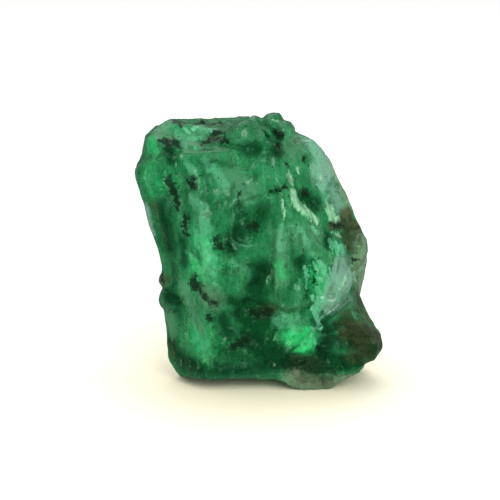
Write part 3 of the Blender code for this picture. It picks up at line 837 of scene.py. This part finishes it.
def emerald_material(look):
    """See-through green stone with specks, stains and haze, with painted shade in its dark places and
    hollows, and painted light: glows, sheens, glints and light through thin edges.
    """
    recipe = Recipe(bpy.data.materials.new("emerald"))
    mark = recipe.mark
    grain = {name: size * MM for name, size in GRAIN.items()}
    place = recipe.node("TexCoord", output=3)
    bent = recipe.bent(place, grain["bend"], BEND_OF_GRAIN * MM)
    upright = recipe.stretched(place, STREAK_SCALE, STREAK_LEAN)
    fibrous = recipe.stretched(bent, FIBRE_SCALE, STREAK_LEAN)
    layered = recipe.stretched(bent, LAYER_SCALE, LAYER_LEAN)
    leaning = recipe.stretched(bent, SHARD_SCALE, SHARD_LEAN)

    broad = recipe.cloud(place, grain["broad"], detail=3)
    mottled = recipe.cloud(place, grain["mottled"], detail=4, distortion=0.6, roughness=0.6)
    fine = recipe.cloud(place, grain["fine"], detail=3, roughness=0.65)
    streaks = recipe.cloud(upright, grain["streaks"], detail=4, distortion=0.6, roughness=0.6)
    grit = recipe.cloud(place, grain["grit"], detail=2, roughness=0.6)
    blotch = recipe.cloud(place, grain["blotch"], detail=3, distortion=0.4, roughness=0.6)
    level = recipe.cloud(layered, grain["level"], detail=3)
    fibres = recipe.cloud(fibrous, grain["fibres"], detail=2)
    shard = recipe.node("SeparateColor", {}, {"Color": recipe.cells(leaning, grain["shards"], 1)})
    vein = recipe.veins(upright, grain["veins"], 0.035) + recipe.veins(bent, grain["cross veins"], 0.03) * 0.7
    crack = recipe.veins(bent, grain["cracks"], 0.022)
    raised = mark("bulge")
    edge = raised.between(0.1, 0.8)
    # Hollows of the skin, painted darker below as painted shade
    hollow_shade = (0 - raised).between(0.1, 0.8)

    # Scattered marks for the sides that face away from the picture
    away = mark("away")
    far = {}
    for kind, (shift, size) in HIDDEN.items():
        shifted = recipe.vector("ADD", place, (shift, 0, 0))
        scattered = recipe.cloud(shifted, size * MM, detail=4, distortion=0.7)
        far[kind] = away * scattered.between(0.54, 0.68)

    # Each kind of mark, its edge made uneven by the grain: these swing round 0
    ragged = (mottled - 0.5) * 1.1 + (fine - 0.5) * 1.2
    swell, wisp, chunk = broad - 0.5, streaks - 0.5, shard - 0.5
    blot, speckle = blotch - 0.5, grit - 0.5
    # Among these masks the dark shade, glow, sheen, thin-edge light, bright band and shard masks carry
    # painted light and shade; haze, veils, stains and specks are the stone's own
    deep = ((mark("deep") + far["deep"]) * 1.3 + ragged * 0.15 + swell * 0.6).between(0.1, 1.1)
    glow = ((mark("glow") + far["glow"] * 0.5) * 1.3 + ragged * 0.3 + chunk * 0.15).between(0.1, 0.95)
    haze = ((mark("haze") + far["haze"] * 0.9) * 1.3 + ragged * 0.3 + wisp * 0.3).between(0.15, 1.1)
    sheen = (mark("sheen") * 1.3 + ragged * 0.5 + wisp * 0.5).between(0.2, 1.0)
    pale = (mark("pale") * 1.3 + ragged * 0.8 + wisp * 0.8).between(0.2, 1.0)
    mint_glint_and_vein = (mark("mint_glint_and_vein") * 1.5 + ragged * 0.7 + chunk * 0.8).between(0.3, 1.0)
    flake_glint = (mark("flake_glint") * 1.5 + ragged * 0.35 + chunk * 0.6).between(0.35, 0.7)
    veil = (mark("veil") * 1.3 + ragged * 0.5 + wisp * 0.9).between(0.2, 1.1)
    stain = ((mark("stain") + far["stain"] * 0.5) * 1.2 + ragged * 0.6 + blot * 0.4).between(0.05, 1.0)
    clumped = far["speck"] * broad.between(0.46, 0.6) * 0.7
    speck = ((mark("speck") + clumped) * 1.1 + blot * 2.6 + speckle * 2.2).between(0.34, 0.74)

    # The body's colour, then every layer over it with its share. The shade layers are painted shade; the
    # glow, sheen, thin-edge, bright band and shard layers are painted light
    tone = broad * 0.4 + streaks * 0.25 + mottled * 0.2 + fibres * 0.15
    body = recipe.blend(tone.between(0.32, 0.66, 0.35), rgba(look.deep_green), rgba(look.green))
    bands = level.between(0.35, 0.65, 0.35, 0.95)
    brown = recipe.blend(bands, rgba(look.speck_black), rgba(look.stain_brown))
    layers = (
        (broad.between(0.5, 0.75) * 0.25, rgba(look.milky)),
        # Painted shade
        (deep * 0.92, rgba(look.deep_green)),
        (haze * 0.8, rgba(look.milky)),
        # Painted light coming through the stone
        (glow * 0.92, rgba(look.glow_green)),
        # Painted reflection
        (sheen * 0.8, rgba(look.sheen_grey)),
        # Painted light through thin edges
        (pale * 0.75, rgba(look.painted_thin_edge_light)),
        (veil * 0.45, rgba(look.flake_glint_and_veil_green)),
        # Painted glints off shards
        (flake_glint * (0.5 + shard * 0.45), rgba(look.flake_glint_and_veil_green)),
        # Painted highlights and glints
        (mint_glint_and_vein * (0.65 + shard * 0.35), rgba(look.mint_glint_and_vein)),
        (stain * 0.9, brown),
        (vein * (1 - deep) * 0.08, rgba(look.mint_glint_and_vein)),
        (edge * (1 - deep) * 0.2, rgba(look.milky)),
        # Painted shade in the hollows; the cracks are dark lines in the stone
        (((hollow_shade * 0.4 + crack * 0.15) * (1 - glow * 0.8)).held(), rgba(look.deep_green)),
        (speck * 0.95, rgba(look.speck_black)),
    )
    for share, colour in layers:
        body = recipe.blend(share, body, colour)

    shiny = sheen * 0.8 + pale * 0.6 + mint_glint_and_vein * 0.5 + flake_glint * 0.5 + edge * 0.35 + haze * 0.4
    gloss = (shiny + 0.2 - stain * 0.2 - deep * 0.5).held()
    rough = 0.2 + mottled.between(0.4, 0.75) * 0.12 + haze * 0.1 + speck * 0.25 + stain * 0.1
    flaky = (mark("mint_glint_and_vein") + mark("flake_glint") * 1.5 + mark("glow") * 0.5 + mark("speck") * 0.5).held()
    chips = (
        recipe.chips(leaning, grain["shards"]) * (0.12 + flaky * 0.6)
        + recipe.chips(bent, grain["chips"]) * 0.2
    )
    height = chips + wisp * 0.02 * MM + (fine - 0.5) * 0.01 * MM + stain * (level - 0.5) * 0.05 * MM
    bump = recipe.node("Bump", {}, {"Strength": 1.0, "Distance": 1.0, "Height": height})

    surface = recipe.node(
        "BsdfPrincipled",
        {},
        {
            "Base Color": body,
            "Roughness": rough,
            "IOR": BERYL_IOR,
            "Specular IOR Level": MIRROR_LEVEL,
            "Specular Tint": MIRROR_TINT,
            "Transmission Weight": CLEARNESS,
            "Coat Weight": gloss,
            "Coat Roughness": GLOSS_ROUGHNESS,
            "Normal": bump,
        },
    )
    inside = recipe.node("VolumeAbsorption", {}, {"Color": rgba(look.depth_colour), "Density": look.depth})
    recipe.node("OutputMaterial", {}, {"Surface": surface, "Volume": inside})
    return recipe.owner


def pale_material():
    """The pale surface the stone stands on, with painted tinted shade round the stone."""
    recipe = Recipe(bpy.data.materials.new("pale surface"))
    place = recipe.node("TexCoord", output=3)
    tint = recipe.cloud(place, TINT_SIZE * MM, detail=2)
    reach = recipe.vector("LENGTH", place, output=1)
    # Painted shade: a yellowish tint round the stone, stronger near it, for its tinted shadow
    tinted_shade = (reach + (tint - 0.5) * TINT_REACH * MM).between(*(edge * MM for edge in NEARER_FADE))
    close = reach.between(*(edge * MM for edge in CLOSE_FADE))
    colour = recipe.blend(tinted_shade, FLOOR_FAR, FLOOR_TINTED_SHADE)
    colour = recipe.blend(close, colour, FLOOR_CLOSE_TINTED_SHADE)
    surface = recipe.node("BsdfPrincipled", {}, {"Base Color": colour, "Roughness": FLOOR_ROUGHNESS})
    recipe.node("OutputMaterial", {}, {"Surface": surface})
    return recipe.owner


class EMERALD_OT_stone(bpy.types.Operator):
    """Builds the stone's fine skin and its material in place of the plain solid"""

    bl_idname = "emerald.stone"
    bl_label = "Stone"

    def execute(self, context):
        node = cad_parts[NODE]
        skin = skin_copy(node, "emerald_stone", context.scene.stone_shape.skin_grain)
        carve_skin(skin, context.scene.stone_shape)
        skin.data.materials.clear()
        skin.data.materials.append(emerald_material(context.scene.stone_look))
        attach(skin, "root")
        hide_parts(NODE)
        return {"FINISHED"}


def white_room():
    """A white room: the camera sees it bright, the stone's glossy places see it dim, as in a dark studio."""
    recipe = Recipe(bpy.data.worlds.new("white room"))
    camera = recipe.node("LightPath", output="Is Camera Ray")
    glossy = recipe.node("LightPath", output="Is Glossy Ray")
    across = recipe.node("SeparateXYZ", {}, {0: recipe.node("TexCoord", output="Generated")}, output="X")
    side = across.between(-1.0, 1.0, ROOM_LEFT, ROOM_RIGHT)
    lit = side * (1 - glossy) + glossy * ROOM_MIRRORED
    strength = lit * (1 - camera) + camera
    background = recipe.node("Background", {}, {"Color": (1, 1, 1, 1), "Strength": strength})
    recipe.node("OutputWorld", {}, {"Surface": background})
    return recipe.owner


def add_light(name, place, size, power, colour):
    """A soft square light that faces the stone."""
    data = bpy.data.lights.new(name, "AREA")
    data.size = size
    data.energy = power
    data.color = colour
    lamp = bpy.data.objects.new(name, data)
    lamp.location = place
    lamp.rotation_mode = "QUATERNION"
    lamp.rotation_quaternion = (CAMERA_AIM - Vector(place)).to_track_quat("-Z", "Y")
    bpy.context.scene.collection.objects.link(lamp)


class EMERALD_OT_studio(bpy.types.Operator):
    """Sets the pale surface, the soft lights and the camera"""

    bl_idname = "emerald.studio"
    bl_label = "Studio"

    def execute(self, context):
        scene = context.scene
        shape = bmesh.new()
        bmesh.ops.create_grid(shape, x_segments=1, y_segments=1, size=FLOOR_HALF)
        mesh = bpy.data.meshes.new("surface")
        shape.to_mesh(mesh)
        shape.free()
        mesh.materials.append(pale_material())
        floor = bpy.data.objects.new("surface", mesh)
        scene.collection.objects.link(floor)
        floor.visible_glossy = False

        scene.world = white_room()
        scene.view_settings.view_transform = "Standard"
        for name, setup in SOFTBOXES.items():
            add_light(name, *setup)

        data = bpy.data.cameras.new("camera")
        data.lens = LENS
        data.sensor_width = SENSOR
        data.clip_start = MM
        place, look, _, _ = camera_axes()
        camera = bpy.data.objects.new("camera", data)
        camera.location = place
        camera.rotation_mode = "QUATERNION"
        camera.rotation_quaternion = look.to_track_quat("-Z", "Y")
        scene.collection.objects.link(camera)
        scene.camera = camera
        return {"FINISHED"}


class EMERALD_PT_panel(bpy.types.Panel):
    """Lists the stone's sizes and colours, and what builds it"""

    bl_idname = "EMERALD_PT_panel"
    bl_label = "Emerald crystal"
    bl_space_type = "VIEW_3D"
    bl_region_type = "UI"
    bl_category = "Emerald"

    def draw(self, context):
        for group in (context.scene.stone_shape, context.scene.stone_look):
            box = self.layout.box()
            for name in group.bl_rna.properties.keys():
                if name not in {"rna_type", "name"}:
                    box.prop(group, name)
        self.layout.operator("emerald.studio")
        self.layout.operator("emerald.stone")


CLASSES = (StoneShape, StoneLook, EMERALD_OT_stone, EMERALD_OT_studio, EMERALD_PT_panel)


def register():
    for kind in CLASSES:
        bpy.utils.register_class(kind)
    bpy.types.Scene.stone_shape = PointerProperty(type=StoneShape)
    bpy.types.Scene.stone_look = PointerProperty(type=StoneLook)


def unregister():
    del bpy.types.Scene.stone_look
    del bpy.types.Scene.stone_shape
    for kind in reversed(CLASSES):
        bpy.utils.unregister_class(kind)


def main():
    register()
    bpy.ops.emerald.studio()
    bpy.ops.emerald.stone()


if __name__ == "__main__":
    main()
